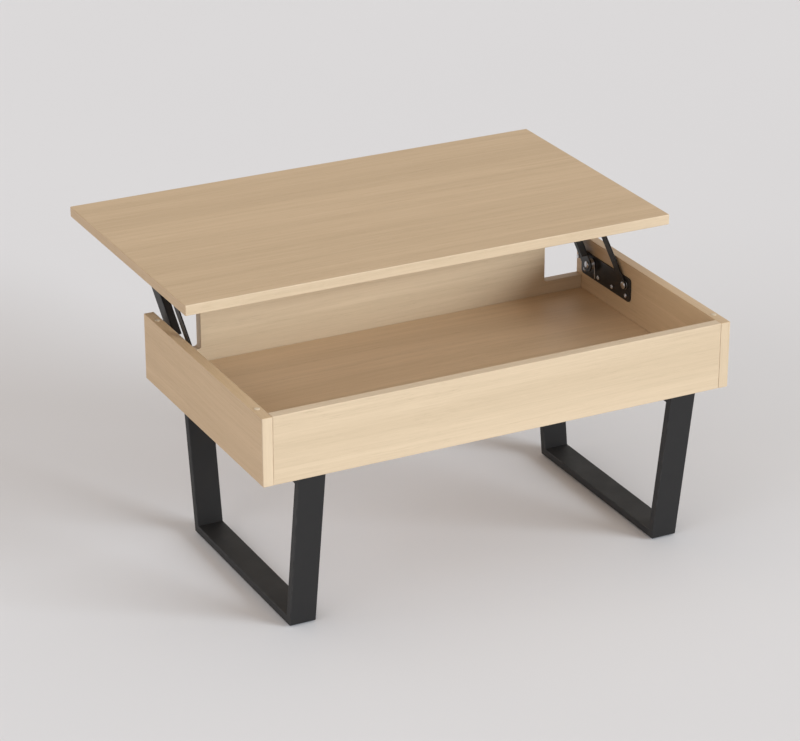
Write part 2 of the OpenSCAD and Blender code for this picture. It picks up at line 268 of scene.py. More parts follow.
def plate_shape(corners, radii, low, high, axes, radius, band=0.0, groove=0.0, face=0, rims=None):
    """A flat plate with eased edges.

    Its outline lies in the plane of the first two letters of axes, its thickness along the third.
    A point is on the outline moved in by the station's inset, at the station's height. rims, where
    given, is the material of edges that run along x, y and z; face is that of the two faces.
    """
    points, normals = rounded_outline(corners, radii)
    stations = eased_profile(high - low, radius, band, groove)
    flat = np.stack([rounded_outline(corners, radii, inset)[0] for inset in stations[:, 0]])
    height = np.broadcast_to(low + stations[:, 1, None, None], (*flat.shape[:2], 1))
    verts = np.concatenate([flat, height], -1).reshape(-1, 3)[:, axes_order(axes)]
    rows, cols = len(stations), len(points)
    quads = grid_faces(rows, cols)
    strip = quads[:, 0] // cols
    flat_strip = np.isclose(stations[strip, 0], stations[(strip + 1), 0])
    flat_strip |= np.isclose(stations[strip, 1], stations[(strip + 1), 1])
    material = np.full(len(quads), face)
    if rims is not None:
        tangent = np.abs(normals[:, ::-1])
        along = np.where(tangent[:, 0] > tangent[:, 1], 0, 1)
        letters = np.array([rims["xyz".index(axes[0])], rims["xyz".index(axes[1])]])
        rim = letters[along][quads[:, 0] % cols]
        first = 2 if band > 0 else 0
        in_band = (strip >= first) & (strip < rows - 1 - first)
        material = np.where(in_band, rim, material)
    edge = np.repeat(stations[:, 2], cols)
    return shape_of(verts, quads, end_caps(rows, cols), ~flat_strip, edge, material, face)


def plate_in_x(outline, radii, start, end, radius):
    """A plate with its outline in y and z, between two places in x that come in either order."""
    return plate_shape(outline, radii, min(start, end), max(start, end), "yzx", radius)


def turned_shape(profile, centre, axis, sides=32, recess=0.0):
    """A turned piece: each row of profile is a place along the axis and a radius.

    A point is centre + place x axis + radius x (cos a, sin a) in the plane across the axis. Where
    recess is more than zero, the last third of the rows sinks by up to that depth inside a cross.
    """
    profile = np.asarray(profile, float)
    a = np.linspace(0, 2 * math.pi, sides, endpoint=False)
    along = np.repeat(profile[:, :1], sides, 1)
    ca, sa = profile[:, 1:] * np.cos(a), profile[:, 1:] * np.sin(a)
    if recess > 0:
        reach = profile[-1, 1] + 0.62 * profile[:, 1].max()
        arm = 0.16 * profile[:, 1].max()
        inside = (np.minimum(np.abs(ca), np.abs(sa)) < arm) & (np.hypot(ca, sa) < reach)
        on_top = np.arange(len(profile))[:, None] >= len(profile) * 2 // 3
        along = along - recess * (inside & on_top) * np.sign(profile[-1, 0] - profile[0, 0])
    order = {"x": "yzx", "y": "zxy", "z": "xyz"}[axis]
    verts = np.stack([ca, sa, along], -1).reshape(-1, 3)[:, axes_order(order)]
    verts = verts + np.asarray(centre, float)
    rows = len(profile)
    quads = grid_faces(rows, sides)
    caps = end_caps(rows, sides)
    if profile[-1, 0] < profile[0, 0]:
        quads = quads[:, ::-1]
        caps = [cap[::-1] for cap in caps]
    steep = np.abs(np.diff(profile, axis=0))
    round_strip = (steep.min(1) > 1e-6) | (steep[:, 1] < 1e-9)
    return shape_of(verts, quads, caps, round_strip[quads.min(1) // sides] | (recess > 0), 0.0)


def swept_wire(path, radius, sides=10):
    """A round wire along a path of points.

    With t the path's direction, a first cross vector is t x X and a second is t x that, and a point
    is the path + radius x (cos a first + sin a second). Flat ends close it.
    """
    t = unit(np.gradient(path, axis=0))
    first = unit(np.cross(t, (1.0, 0.0, 0.0)))
    second = np.cross(t, first)
    a = np.linspace(0, 2 * math.pi, sides, endpoint=False)[None, :, None]
    points = path[:, None] + radius * (np.cos(a) * first[:, None] + np.sin(a) * second[:, None])
    rows = len(path)
    return shape_of(points.reshape(-1, 3), grid_faces(rows, sides), end_caps(rows, sides), True, 0.0)


def frame_shape(corners, x_low, x_high, depth, radius):
    """A closed frame of rectangular tube with mitred corners.

    A point is the outer corner + b x the inward mitre there, at x = a, where (a, b) runs round a
    rounded rectangle that is the tube's section and the corners run anticlockwise in y and z.
    """
    section, _ = rounded_outline([(x_low, 0), (x_high, 0), (x_high, depth), (x_low, depth)], radius)
    p = np.asarray(corners, float)
    mitre = corner_mitres(p)[3]
    yz = p[:, None] - section[None, :, 1, None] * mitre[:, None]
    x = np.broadcast_to(section[None, :, 0, None], (*yz.shape[:2], 1))
    verts = np.concatenate([x, yz], -1).reshape(-1, 3)
    rows, cols = len(p), len(section)
    quads = grid_faces(rows, cols, wrap_rows=True)
    moved = np.linalg.norm(section - np.roll(section, -1, 0), axis=1)
    is_arc = moved < radius
    edge = (is_arc & np.roll(is_arc, 1)).astype(float)
    return shape_of(verts, quads, [], is_arc[quads[:, 0] % cols], np.tile(edge, rows))


def flip_if_inside_out(shape):
    """Turns every face round if the shape's signed volume is negative."""
    v, q = shape["verts"], shape["quads"]
    volume = np.einsum("ij,ij->", v[q[:, 0]], np.cross(v[q[:, 1]], v[q[:, 2]]))
    volume += np.einsum("ij,ij->", v[q[:, 0]], np.cross(v[q[:, 2]], v[q[:, 3]]))
    for cap in shape["caps"]:
        fan = v[cap]
        volume += np.einsum("ij,ij->", np.broadcast_to(fan[0], fan[1:-1].shape), np.cross(fan[1:-1], fan[2:]))
    if volume < 0:
        shape["quads"] = q[:, ::-1]
        shape["caps"] = [cap[::-1] for cap in shape["caps"]]
    return shape


def make_piece(name, shapes, materials, body, nodes, bevel=0.0):
    """Joins shapes into one mesh object that rides on a body and stands for CAD nodes."""
    verts, faces, smooth, material, edge, start = [], [], [], [], [], 0
    for shape in map(flip_if_inside_out, shapes):
        verts.append(shape["verts"])
        edge.append(shape["edge"])
        faces += (shape["quads"] + start).tolist()
        faces += [(cap + start).tolist() for cap in shape["caps"]]
        smooth += shape["smooth"].tolist() + [False] * len(shape["caps"])
        material += shape["material"].tolist() + [shape["cap_material"]] * len(shape["caps"])
        start += len(shape["verts"])
    mesh = bpy.data.meshes.new(name)
    mesh.from_pydata(np.concatenate(verts).tolist(), [], faces)
    mesh.polygons.foreach_set("use_smooth", smooth)
    mesh.polygons.foreach_set("material_index", material)
    mesh.attributes.new("edge_mask", "FLOAT", "POINT").data.foreach_set("value", np.concatenate(edge))
    for entry in materials:
        mesh.materials.append(entry)
    if mesh.validate():
        raise RuntimeError(f"{name} had faces that had to be repaired")
    mesh.update()
    piece = bpy.data.objects.new(name, mesh)
    bpy.context.scene.collection.objects.link(piece)
    if bevel > 0:
        ease = piece.modifiers.new("ease", "BEVEL")
        ease.width = bevel
        ease.segments = 3
        ease.limit_method = "ANGLE"
        ease.angle_limit = math.radians(40)
    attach(piece, body)
    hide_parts(*nodes)
    return piece


# ---------------------------------------------------------------- materials


def node(tree, kind, **values):
    """Adds a node; keys that name one of its inputs set that input, and the rest set the node."""
    made = tree.nodes.new(kind)
    for key, value in values.items():
        if key in made.inputs:
            made.inputs[key].default_value = value
        else:
            setattr(made, key, value)
    return made


def join(tree, *pairs):
    """Links each (output socket, input socket) pair."""
    for source, target in pairs:
        tree.links.new(source, target)


def group(name, inputs, outputs):
    """A shader node group with named sockets, and its input and output nodes."""
    tree = bpy.data.node_groups.new(name, "ShaderNodeTree")
    for label, kind, value in inputs:
        socket = tree.interface.new_socket(name=label, in_out="INPUT", socket_type=kind)
        if value is not None:
            socket.default_value = value
    for label, kind in outputs:
        tree.interface.new_socket(name=label, in_out="OUTPUT", socket_type=kind)
    return tree, tree.nodes.new("NodeGroupInput"), tree.nodes.new("NodeGroupOutput")


def stretched_noise(tree, vector, scale, detail, roughness=0.5):
    """Noise whose cells are longer where the scale is smaller."""
    place = node(tree, "ShaderNodeMapping", Scale=scale)
    noise = node(tree, "ShaderNodeTexNoise", Scale=1.0, Detail=detail, Roughness=roughness)
    join(tree, (vector, place.inputs["Vector"]), (place.outputs[0], noise.inputs["Vector"]))
    return noise.outputs["Fac"]


def spread(tree, value, low, high, out_low=0.0, out_high=1.0):
    """The stretch from low to high of a value, spread over a new range."""
    made = node(tree, "ShaderNodeMapRange")
    join(tree, (value, made.inputs["Value"]))
    for label, number in zip(("From Min", "From Max", "To Min", "To Max"), (low, high, out_low, out_high)):
        made.inputs[label].default_value = number
    return made.outputs["Result"]


def calc(tree, operation, a, b):
    """A math node on two sockets or numbers."""
    made = node(tree, "ShaderNodeMath", operation=operation)
    for index, value in enumerate((a, b)):
        if isinstance(value, (int, float)):
            made.inputs[index].default_value = value
        else:
            join(tree, (value, made.inputs[index]))
    return made.outputs[0]


def blend_colour(tree, factor, a, b, mode="MIX"):
    """Mixes two colour sockets or values by a factor socket."""
    made = node(tree, "ShaderNodeMix", data_type="RGBA", blend_type=mode)
    sockets = {s.identifier: s for s in made.inputs}
    for key, value in (("Factor_Float", factor), ("A_Color", a), ("B_Color", b)):
        if isinstance(value, bpy.types.NodeSocket):
            join(tree, (value, sockets[key]))
        else:
            sockets[key].default_value = value
    return next(s for s in made.outputs if s.identifier == "Result_Color")


COLOUR, FLOAT, VECTOR = "NodeSocketColor", "NodeSocketFloat", "NodeSocketVector"


def oak_grain_group():
    """Straight oak grain that runs along the vector's x: bands, fibres, pores and short ray flecks."""
    tree, enter, leave = group(
        "Oak grain",
        [("Vector", VECTOR, None), ("Pale", COLOUR, None), ("Band", COLOUR, None), ("Pore", COLOUR, None)],
        [("Colour", COLOUR), ("Roughness", FLOAT), ("Height", FLOAT)],
    )
    # The grain wanders: a slow noise moves the coordinates a little across the board.
    drift = node(tree, "ShaderNodeMapping", Scale=(0.9, 2.2, 2.2))
    slow = node(tree, "ShaderNodeTexNoise", Scale=1.0, Detail=2.0)
    centred = node(tree, "ShaderNodeVectorMath", operation="SUBTRACT")
    centred.inputs[1].default_value = (0.5, 0.5, 0.5)
    sized = node(tree, "ShaderNodeVectorMath", operation="MULTIPLY")
    sized.inputs[1].default_value = (0.0, 0.055, 0.055)
    moved = node(tree, "ShaderNodeVectorMath", operation="ADD")
    join(
        tree,
        (enter.outputs["Vector"], drift.inputs["Vector"]),
        (drift.outputs[0], slow.inputs["Vector"]),
        (slow.outputs["Color"], centred.inputs[0]),
        (centred.outputs[0], sized.inputs[0]),
        (sized.outputs[0], moved.inputs[0]),
        (enter.outputs["Vector"], moved.inputs[1]),
    )
    vector = moved.outputs[0]
    bands = spread(tree, stretched_noise(tree, vector, (0.55, 17, 17), 3.0), 0.38, 0.66)
    lines = spread(tree, stretched_noise(tree, vector, (1.3, 95, 95), 4.0, 0.6), 0.40, 0.68)
    fibres = spread(tree, stretched_noise(tree, vector, (7, 520, 520), 2.0), 0.35, 0.70)
    pores = spread(tree, stretched_noise(tree, vector, (34, 1500, 1500), 1.0), 0.60, 0.72)
    pores = calc(tree, "MULTIPLY", pores, spread(tree, lines, 0.1, 0.9, 0.25, 1.0))
    flecks = spread(tree, stretched_noise(tree, vector, (60, 210, 210), 1.0), 0.66, 0.78)
    colour = enter.outputs["Pale"]
    layers = ((bands, 0.55, "Band"), (lines, 0.42, "Band"), (fibres, 0.13, "Pore"), (pores, 0.34, "Pore"))
    for mask, strength, tone in (*layers, (flecks, 0.25, "Pale")):
        colour = blend_colour(tree, calc(tree, "MULTIPLY", mask, strength), colour, enter.outputs[tone])
    rough = calc(tree, "ADD", calc(tree, "MULTIPLY", fibres, 0.10), 0.40)
    rough = calc(tree, "ADD", calc(tree, "MULTIPLY", pores, 0.18), rough)
    height = calc(tree, "SUBTRACT", calc(tree, "MULTIPLY", fibres, 0.35), pores)
    join(
        tree,
        (colour, leave.inputs["Colour"]),
        (rough, leave.inputs["Roughness"]),
        (height, leave.inputs["Height"]),
    )
    return tree


def edge_wear_group():
    """Lightens a colour along the eased edges, broken up by noise."""
    tree, enter, leave = group(
        "Edge wear",
        [
            ("Colour", COLOUR, None),
            ("Worn", COLOUR, None),
            ("Amount", FLOAT, 0.3),
            ("Spot size", FLOAT, 60.0),
        ],
        [("Colour", COLOUR)],
    )
    mark = node(tree, "ShaderNodeAttribute", attribute_name="edge_mask")
    place = node(tree, "ShaderNodeTexCoord")
    noise = node(tree, "ShaderNodeTexNoise", Detail=3.0)
    join(
        tree,
        (place.outputs["Object"], noise.inputs["Vector"]),
        (enter.outputs["Spot size"], noise.inputs["Scale"]),
    )
    broken = spread(tree, noise.outputs["Fac"], 0.35, 0.65)
    marked = calc(tree, "MULTIPLY", mark.outputs["Fac"], broken)
    mask = calc(tree, "MULTIPLY", marked, enter.outputs["Amount"])
    colour = blend_colour(tree, mask, enter.outputs["Colour"], enter.outputs["Worn"])
    join(tree, (colour, leave.inputs["Colour"]))
    return tree


def new_material(name):
    """An empty material with its shader and its output."""
    made = bpy.data.materials.new(name)
    made.use_nodes = True
    tree = made.node_tree
    return made, tree, tree.nodes["Principled BSDF"]


def rgba(colour):
    return (*colour, 1.0)


def use_group(tree, name):
    made = tree.nodes.new("ShaderNodeGroup")
    made.node_tree = bpy.data.node_groups[name]
    return made


def tinted(colour, factor, grey=0.0):
    """A colour made lighter or darker and moved towards its own grey."""
    base = np.array(colour[:]) * factor
    return tuple(base + (base.mean() - base) * grey)


GRAIN_TURNS = {"x": (0, 0, 0), "y": (0, 0, math.pi / 2), "z": (0, math.pi / 2, 0)}


def oak_material(name, axis, offset, mean):
    """Lacquered oak veneer with its grain along one axis of the table."""
    made, tree, shader = new_material(name)
    place = tree.nodes.new("ShaderNodeTexCoord")
    turn = node(tree, "ShaderNodeMapping", Rotation=GRAIN_TURNS[axis], Location=offset)
    grain, wear = use_group(tree, "Oak grain"), use_group(tree, "Edge wear")
    bump = node(tree, "ShaderNodeBump", Strength=0.35, Distance=0.0003)
    grain.inputs["Pale"].default_value = rgba(tinted(mean, 1.10))
    grain.inputs["Band"].default_value = rgba(tinted(mean, 0.87, -0.08))
    grain.inputs["Pore"].default_value = rgba(tinted(mean, 0.52, -0.10))
    wear.inputs["Worn"].default_value = rgba(tinted(mean, 1.22, 0.12))
    wear.inputs["Amount"].default_value = 0.45
    shader.inputs["Coat Weight"].default_value = 0.12
    shader.inputs["Coat Roughness"].default_value = 0.32
    join(
        tree,
        (place.outputs["Object"], turn.inputs["Vector"]),
        (turn.outputs[0], grain.inputs["Vector"]),
        (grain.outputs["Colour"], wear.inputs["Colour"]),
        (wear.outputs["Colour"], shader.inputs["Base Color"]),
        (grain.outputs["Roughness"], shader.inputs["Roughness"]),
        (grain.outputs["Height"], bump.inputs["Height"]),
        (bump.outputs[0], shader.inputs["Normal"]),
    )
    return made


def coated_material(name, colour, worn, rough, peel, wear_amount, metallic=0.0):
    """Powder coat, plate or rubber: a colour with fine texture, uneven sheen and worn edges."""
    made, tree, shader = new_material(name)
    place = tree.nodes.new("ShaderNodeTexCoord")
    clouds = node(tree, "ShaderNodeTexNoise", Scale=22.0, Detail=4.0)
    grit = node(tree, "ShaderNodeTexNoise", Scale=peel, Detail=2.0)
    bump = node(tree, "ShaderNodeBump", Strength=0.4, Distance=0.0003)
    wear = use_group(tree, "Edge wear")
    wear.inputs["Worn"].default_value = rgba(worn)
    wear.inputs["Amount"].default_value = wear_amount
    join(
        tree,
        (place.outputs["Object"], clouds.inputs["Vector"]),
        (place.outputs["Object"], grit.inputs["Vector"]),
        (grit.outputs["Fac"], bump.inputs["Height"]),
        (bump.outputs[0], shader.inputs["Normal"]),
    )
    shade = spread(tree, clouds.outputs["Fac"], 0.3, 0.7)
    colour_out = blend_colour(tree, shade, rgba(tinted(colour, 0.86)), rgba(tinted(colour, 1.14)))
    gloss = spread(tree, clouds.outputs["Fac"], 0.3, 0.7, rough - 0.05, rough + 0.07)
    join(
        tree,
        (colour_out, wear.inputs["Colour"]),
        (wear.outputs["Colour"], shader.inputs["Base Color"]),
        (gloss, shader.inputs["Roughness"]),
    )
    shader.inputs["Metallic"].default_value = metallic
    return made


def floor_material(colour):
    """Matt pale studio floor with the faintest cloud of tone."""
    made, tree, shader = new_material("studio_floor")
    place = tree.nodes.new("ShaderNodeTexCoord")
    clouds = node(tree, "ShaderNodeTexNoise", Scale=0.8, Detail=2.0)
    join(tree, (place.outputs["Object"], clouds.inputs["Vector"]))
    darker, lighter = rgba(tinted(colour, 0.985)), rgba(tinted(colour, 1.015))
    shade = blend_colour(tree, clouds.outputs["Fac"], darker, lighter)
    join(tree, (shade, shader.inputs["Base Color"]))
    shader.inputs["Roughness"].default_value = 0.9
    shader.inputs["Specular IOR Level"].default_value = 0.1
    return made


def material(name):
    """A finish that the first operator has made."""
    return bpy.data.materials[name]


# ---------------------------------------------------------------- places from the frame


def box_of(name):
    """Lowest and highest corner of a CAD node, as two arrays."""
    low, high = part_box(name)
    return np.array(low), np.array(high)


def pivot(joint):
    return np.array(JOINTS[joint]["pos_m"])


def arm_pivots(kind):
    """The base and top pivots, in y and z, of the main or guide arms, which are the same at both ends."""
    main_base, main_top = pivot("lift")[1:], pivot("top_level")[1:]
    base = main_base if kind == "main" else pivot("left_guide_swing")[1:]
    return base, base + (main_top - main_base)


def inward(side):
    """Sign of x that points from an end panel to the middle of the table."""
    return 1 if side == "left" else -1


def span(side, name):
    """Where a node starts and ends in x, counted from the end panel inwards."""
    low, high = box_of(name)
    return (low[0], high[0]) if side == "left" else (high[0], low[0])


def layers(side):
    """Where the guide arm starts and ends in x, and where the top bracket's ear does."""
    guide_start, guide_end = span(side, side + "_guide_arm")
    ear_start = span(side, side + "_top_bracket")[0]
    return guide_start, guide_end, ear_start, ear_start + (guide_end - guide_start)


def rectangle(low, high):
    """Anticlockwise corners of a rectangle."""
    return [(low[0], low[1]), (high[0], low[1]), (high[0], high[1]), (low[0], high[1])]


def dome(start, height, radius, rim, reach, power, steps):
    """Rows of place and radius over a dome that begins at rim, a share of its height."""
    a = np.linspace(0, math.pi / 2 * reach, steps)
    return np.stack([start + height * (rim + (1 - rim) * np.sin(a)), radius * np.cos(a) ** power], 1)


def domed_pin(start, end, head, centre):
    """A pivot pin along x with a domed head beyond its end; the head's sign gives its side."""
    ease = math.copysign(0.3 * MM, head)
    shaft = [(start, PIN_RADIUS * 0.9), (start + ease, PIN_RADIUS), (end, PIN_RADIUS)]
    shaft.append((end, HEAD_RADIUS * 0.97))
    top = dome(end, head, HEAD_RADIUS, 0.35, 0.97, 0.6, 5)
    return turned_shape(np.concatenate([shaft, top]), centre, "x")


def screw(start, end, radius, head_radius, head, centre, axis):
    """A screw whose pan head has a cross recess."""
    shaft = [(start, radius * 0.5), (start + (end - start) * 0.2, radius), (end, radius)]
    shaft.append((end, head_radius * 0.98))
    top = dome(end, head, head_radius, 0.45, 0.93, 0.55, 8)
    return turned_shape(np.concatenate([shaft, top]), centre, axis, 40, recess=abs(head) * 0.55)


def ring(start, end, inner, outer, centre, axis="x"):
    """A washer or bush: a closed square section turned round an axis."""
    ease = min(0.25 * MM, abs(end - start) / 4)
    profile = [
        (start, inner),
        (start, outer - ease),
        (start + ease, outer),
        (end - ease, outer),
        (end, outer - ease),
        (end, inner),
    ]
    shape = turned_shape(profile, centre, axis)
    sides = len(shape["verts"]) // len(profile)
    quads = grid_faces(len(profile), sides, wrap_rows=True)
    return shape_of(shape["verts"], quads, [], np.arange(len(quads)) // sides != 0, 0.0)


def zinc_piece(name, shapes, replaced, body="table"):
    """A plated piece that stands for one CAD node."""
    make_piece(name, shapes, [material("zinc_plate")], body, [replaced])


def pressed_piece(name, shapes, replaced, body):
    """A black pressed steel piece that stands for one CAD node."""
    make_piece(name, shapes, [material("black_pressed_steel")], body, [replaced])


# ---------------------------------------------------------------- operators


class TABLE_OT_finishes(bpy.types.Operator):
    """Makes the oak, steel, zinc, rubber and beech finishes"""

    bl_idname = "lift_table.finishes"
    bl_label = "Finishes"

    def execute(self, context):
        colours = context.scene.lift_table_colours
        oak_grain_group()
        edge_wear_group()
        oak_material("oak_top", "x", (0.3, 0.11, 0.2), colours.oak)
        oak_material("oak_base", "x", (5.3, 0.91, 3.1), tinted(colours.oak, 1.27, 0.08))
        # oak_along and oak_upright take the painted highlight tint of the long panels.
        oak_material("oak_along", "x", (1.7, 0.43, 0.9), colours.oak_long_painted_highlight)
        oak_material("oak_across", "y", (2.9, 0.77, 1.6), colours.oak)
        oak_material("oak_upright", "z", (4.1, 1.21, 2.3), colours.oak_long_painted_highlight)
        grey = tinted(colours.black, 6)
        coated_material("black_powder_coat", colours.black, grey, 0.58, 900, 0.35)
        coated_material("black_pressed_steel", tinted(colours.black, 1.2), grey, 0.36, 500, 0.5, 0.2)
        coated_material("zinc_plate", colours.zinc, tinted(colours.zinc, 1.2), 0.30, 1200, 0.2, 1.0)
        coated_material("rubber", colours.rubber, tinted(colours.rubber, 2), 0.75, 1500, 0.3)
        coated_material("milky_silicone", colours.silicone, tinted(colours.silicone, 1.1), 0.35, 700, 0.2)
        coated_material("beech", colours.beech, tinted(colours.beech, 1.1), 0.6, 800, 0.2)
        for name in ("panel_dowels", "bottom_dowels"):
            slots = frame["nodes"][name].material_slots
            if not slots:
                frame["nodes"][name].data.materials.append(material("beech"))
            for entry in slots:
                entry.material = material("beech")
        return {"FINISHED"}


OAKS = ("oak_top", "oak_along", "oak_across", "oak_upright", "oak_base")


def oak_board(name, axes, face, body, sizes, radii=BOARD_CORNER, outline=None):
    """An edge-banded oak board with the finish of each edge running along it.

    It fills the node's box, with its outline in the first two letters of axes, unless one is given.
    """
    low, high = box_of(name)
    first, second, third = ("xyz".index(letter) for letter in axes)
    if outline is None:
        outline = rectangle((low[first], low[second]), (high[first], high[second]))
    rims = [OAKS.index(rim) for rim in ("oak_along", "oak_across", "oak_upright")]
    edges = sizes.edge_radius, sizes.band_thickness, BAND_GROOVE
    shape = plate_shape(outline, radii, low[third], high[third], axes, *edges, OAKS.index(face), rims)
    make_piece(name + "_board", [shape], map(material, OAKS), body, [name])


class TABLE_OT_top(bpy.types.Operator):
    """Makes the top, an oak board with eased edges"""

    bl_idname = "lift_table.top"
    bl_label = "Top"

    def execute(self, context):
        sizes = context.scene.lift_table_sizes
        oak_board("top_panel", "xyz", "oak_top", "top", sizes, sizes.corner_radius)
        return {"FINISHED"}


class TABLE_OT_box(bpy.types.Operator):
    """Makes the boards of the storage box"""

    bl_idname = "lift_table.box"
    bl_label = "Storage box"

    def execute(self, context):
        sizes = context.scene.lift_table_sizes
        for side in SIDES:
            oak_board(side + "_end_panel", "yzx", "oak_across", "table", sizes, BOARD_CORNER * 2)
        oak_board("back_panel", "zxy", "oak_along", "table", sizes)
        oak_board("bottom_panel", "xyz", "oak_base", "table", sizes)
        self.front(sizes)
        return {"FINISHED"}

    def front(self, sizes):
        """The front panel, with its rim cut down near each end for the arms."""
        low, high = box_of("front_panel")
        openings = {entry["name"]: entry["box_m"] for entry in frame["record"]["physics"]["openings"]}
        floor_z = openings["left_arm_cutout"][0][2] - OPENING_MARGIN
        left = openings["left_arm_cutout"][1][0] + OPENING_MARGIN
        right = openings["right_arm_cutout"][0][0] - OPENING_MARGIN
        outline = [
            (low[2], low[0]),
            (floor_z, low[0]),
            (floor_z, left),
            (high[2], left),
            (high[2], right),
            (floor_z, right),
            (floor_z, high[0]),
            (low[2], high[0]),
        ]
        radii = [BOARD_CORNER, BOARD_CORNER, CUTOUT_CORNER, RIM_CORNER]
        oak_board("front_panel", "zxy", "oak_along", "table", sizes, radii + radii[::-1], outline)


class TABLE_OT_legs(bpy.types.Operator):
    """Makes the two welded leg frames, their screws and their floor glides"""

    bl_idname = "lift_table.legs"
    bl_label = "Legs"

    def execute(self, context):
        sizes = context.scene.lift_table_sizes
        for side in SIDES:
            top_low, top_high = box_of(side + "_top_tube")
            foot_low, foot_high = box_of(side + "_foot_tube")
            corners = [
                (foot_low[1], foot_low[2]),
                (foot_high[1], foot_low[2]),
                (top_high[1], top_high[2]),
                (top_low[1], top_high[2]),
            ]
            depth = top_high[2] - top_low[2]
            tube = frame_shape(corners, top_low[0], top_high[0], depth, sizes.tube_radius)
            nodes = [f"{side}_{part}" for part in ("top_tube", "foot_tube", "back_upright", "front_upright")]
            coat = [material("black_powder_coat")]
            make_piece(side + "_leg_frame", [tube], coat, "table", nodes, MITRE_EASE)
        self.screws()
        self.glides()
        return {"FINISHED"}

    def tube_centre(self):
        low, high = box_of("right_top_tube")
        return (low[0] + high[0]) / 2

    def screws(self):
        """Three screws through each top tube into the bottom board."""
        low, high = box_of("leg_screws")
        x = self.tube_centre()
        r = high[0] - x
        under = box_of("right_top_tube")[0][2]
        places = [(sx * x, y, 0) for sx in (-1, 1) for y in np.linspace(low[1] + r, high[1] - r, 3)]
        shapes = [screw(high[2], under, r * 0.55, r, low[2] - under, place, "z") for place in places]
        zinc_piece("leg_screw_set", shapes, "leg_screws")

    def glides(self):
        """Four turned glides with a chamfered foot."""
        low, high = box_of("floor_glides")
        x = self.tube_centre()
        r, t = high[0] - x, high[2] - low[2]
        profile = [(0, r * 0.86), (0.15 * t, r * 0.94), (0.4 * t, r), (0.8 * t, r), (t, r * 0.97)]
        places = [(sx * x, y, low[2]) for sx in (-1, 1) for y in (low[1] + r, high[1] - r)]
        shapes = [turned_shape(profile, place, "z") for place in places]
        make_piece("floor_glide_set", shapes, [material("rubber")], "table", ["floor_glides"])


class TABLE_OT_bumpers(bpy.types.Operator):
    """Makes the soft bumpers on the rim of the box"""

    bl_idname = "lift_table.bumpers"
    bl_label = "Rim bumpers"

    def execute(self, context):
        low, high = box_of("rim_bumpers")
        panel_low, panel_high = box_of("right_end_panel")
        x = (panel_low[0] + panel_high[0]) / 2
        r, t = high[0] - x, high[2] - low[2]
        profile = np.concatenate([[(0, r)], dome(0, t, r, 0.3, 0.96, 0.5, 6)])
        places = [(sx * x, y, low[2]) for sx in (-1, 1) for y in (low[1] + r, high[1] - r)]
        shapes = [turned_shape(profile, place, "z") for place in places]
        make_piece("rim_bumper_set", shapes, [material("milky_silicone")], "table", ["rim_bumpers"])
        return {"FINISHED"}


def along_arm(base, top, s, w):
    """The point in y and z that is s along an arm from its base pivot and w to its upper side."""
    direction = (top - base) / np.linalg.norm(top - base)
    across = np.array([-direction[1], direction[0]])
    return tuple(base + s * direction + w * across)


def arm_outline(base, top, s0, s1, w0, w1):
    """Anticlockwise corners of a bar along an arm, in y and z."""
    return [along_arm(base, top, *place) for place in ((s0, w0), (s1, w0), (s1, w1), (s0, w1))]


class TABLE_OT_arms(bpy.types.Operator):
    """Makes the main arms, with their flanges, and the guide arms"""

    bl_idname = "lift_table.arms"
    bl_label = "Arms"

    def execute(self, context):
        radius = context.scene.lift_table_sizes.plate_radius
        for side in SIDES:
            for kind in ("main", "guide"):
                self.arm(side, kind, radius)
        return {"FINISHED"}

    def arm(self, side, kind, radius):
        name = f"{side}_{kind}_arm"
        thickness = np.ptp(span(side, side + "_guide_arm"))
        base, top = arm_pivots(kind)
        length, half = np.linalg.norm(top - base), box_of(name)[1][2] - top[1]
        x0, x2 = span(side, name)
        x1 = x0 + inward(side) * thickness
        outline = arm_outline(base, top, -half, length + half, -half, half)
        shapes = [plate_in_x(outline, half * 0.995, x0, x1, radius)]
        if kind == "main":
            flange_end = half - 1 * MM
            bar = arm_outline(base, top, flange_end, length - flange_end, half - thickness, half)
            shapes.append(plate_in_x(bar, 0.6 * MM, x0, x2, radius))
            rib = arm_outline(base, top, half * 1.6, length - half * 1.6, -half * 0.28, half * 0.28)
            shapes.append(plate_in_x(rib, half * 0.27, x1, x1 + inward(side) * RIB_HEIGHT, 0.45 * MM))
        pressed_piece(name + "_pressing", shapes, name, name)


class TABLE_OT_brackets(bpy.types.Operator):
    """Makes the base brackets and the eared top brackets"""

    bl_idname = "lift_table.brackets"
    bl_label = "Brackets"

    def execute(self, context):
        radius = context.scene.lift_table_sizes.plate_radius
        for side in SIDES:
            self.base(side, radius)
            self.top(side, radius)
        return {"FINISHED"}

    def base(self, side, radius):
        name = side + "_base_bracket"
        low, high = box_of(name)
        shape = plate_shape(rectangle(low[1:], high[1:]), 8 * MM, low[0], high[0], "yzx", radius)
        pressed_piece(name + "_plate", [shape], name, "table")

    def top(self, side, radius):
        """Two ears hang from a strip, whose shelf lies under the top."""
        name = side + "_top_bracket"
        low, high = box_of(name)
        thickness = np.ptp(span(side, side + "_base_bracket"))
        ear = arm_pivots("main")[1][1] - low[2]
        strip_z = high[2] - STRIP_HEIGHT
        y0, y1 = low[1], high[1]
        outline = [
            (y0, high[2]),
            (y0, low[2]),
            (y0 + 2 * ear, low[2]),
            (y0 + 2 * ear, strip_z),
            (y1 - 2 * ear, strip_z),
            (y1 - 2 * ear, low[2]),
            (y1, low[2]),
            (y1, high[2]),
        ]
        full, inner, corner = ear * 0.99, 5 * MM, 1 * MM
        radii = [corner, full, full, inner, inner, full, full, corner]
        x0 = span(side, name)[0]
        shapes = [plate_in_x(outline, radii, x0, x0 + inward(side) * thickness, radius)]
        shelf = rectangle((low[0], y0), (high[0], y1))
        shapes.append(plate_shape(shelf, 2 * MM, high[2] - thickness, high[2], "xyz", radius))
        pressed_piece(name + "_pressing", shapes, name, "top")


